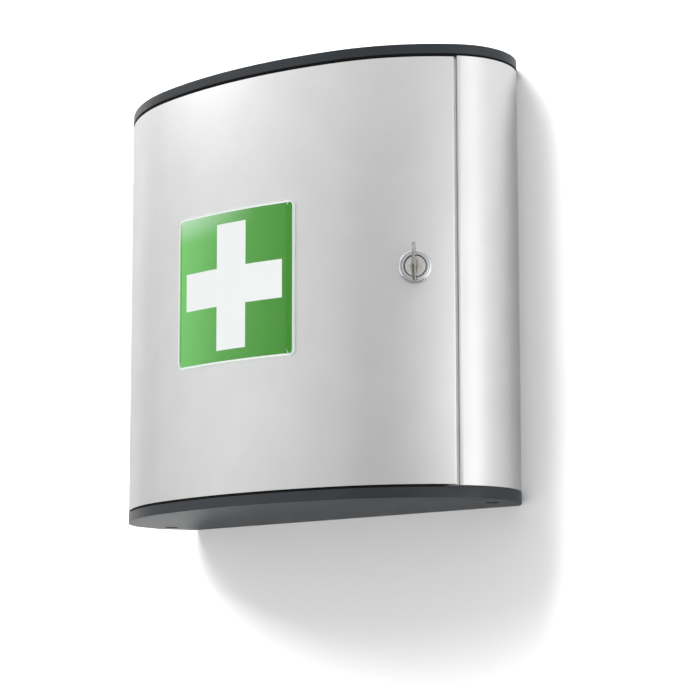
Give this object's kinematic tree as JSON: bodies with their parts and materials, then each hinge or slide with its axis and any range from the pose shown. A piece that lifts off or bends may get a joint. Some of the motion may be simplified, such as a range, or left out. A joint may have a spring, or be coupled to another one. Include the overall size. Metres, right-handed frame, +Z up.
{
  "type": "wall-hung medicine cabinet",
  "caption": "Wall-hung medicine cabinet with an oval aluminium body, plastic caps, a curved hinged door with a green cross emblem, a cam lock with its key, and inner shelves.",
  "frame": {"origin": "middle of the four wall screw holes, on the wall face of the back panel, which is also mid width and mid height", "axes": "+X along the wall, to the right as seen from the front; +Y into the wall, so the door faces -Y; +Z up"},
  "size_m": [0.302, 0.1131, 0.28],
  "materials": {
    "anodised_aluminium": "satin anodised, natural silver",
    "cap_plastic": "fine moulded texture, anthracite",
    "rail_plastic": "moulded, anthracite",
    "white_enamel": "powder coated, satin white",
    "zinc_steel": "zinc plated",
    "chrome_plate": "bright chrome plated",
    "nickel_key": "nickel plated, bright",
    "acetal": "natural acetal",
    "rubber_pad": "matt",
    "clear_acrylic": "clear, polished",
    "green_film": "printed green behind clear acrylic",
    "white_film": "printed white behind clear acrylic"
  },
  "bodies": {
    "cabinet": {"top_cap": "cap_plastic", "bottom_cap": "cap_plastic", "side_panel_right": "anodised_aluminium", "side_panel_left": "anodised_aluminium", "back_panel": "white_enamel", "back_rivets": "zinc_steel", "cap_screws_top": "zinc_steel", "cap_screws_bottom": "zinc_steel", "hinge_pin_top": "zinc_steel", "hinge_pin_bottom": "zinc_steel", "strike_plate": "zinc_steel", "strike_rivets": "zinc_steel", "door_bumpers": "rubber_pad", "shelf_upper": "white_enamel", "shelf_lower": "white_enamel", "shelf_screws": "zinc_steel"},
    "door": {"door_panel": "anodised_aluminium", "door_rail_top": "rail_plastic", "door_rail_bottom": "rail_plastic", "hinge_bush_top": "acetal", "hinge_bush_bottom": "acetal", "lock_housing": "chrome_plate", "lock_nut": "zinc_steel", "emblem_field": "green_film", "emblem_cross": "white_film", "emblem_tile": "clear_acrylic"},
    "lock": {"lock_plug": "chrome_plate", "lock_cam": "zinc_steel", "cam_screw": "zinc_steel"},
    "key": {"key": "nickel_key"}
  },
  "joints": [
    {"name": "door_hinge", "type": "hinge", "parent": "cabinet", "child": "door", "pos_m": [-0.12965, -0.06579, 0], "axis": [0, 0, -1], "range_deg": [0, 100]},
    {"name": "lock_turn", "type": "hinge", "parent": "door", "child": "lock", "pos_m": [0.11785, -0.08142, 0.0005], "axis": [0.5612, -0.8277, 0], "range_deg": [0, 90]},
    {"name": "key_slide", "type": "slide", "parent": "lock", "child": "key", "axis": [0.5612, -0.8277, 0], "range_m": [0, 0.02]}
  ]
}
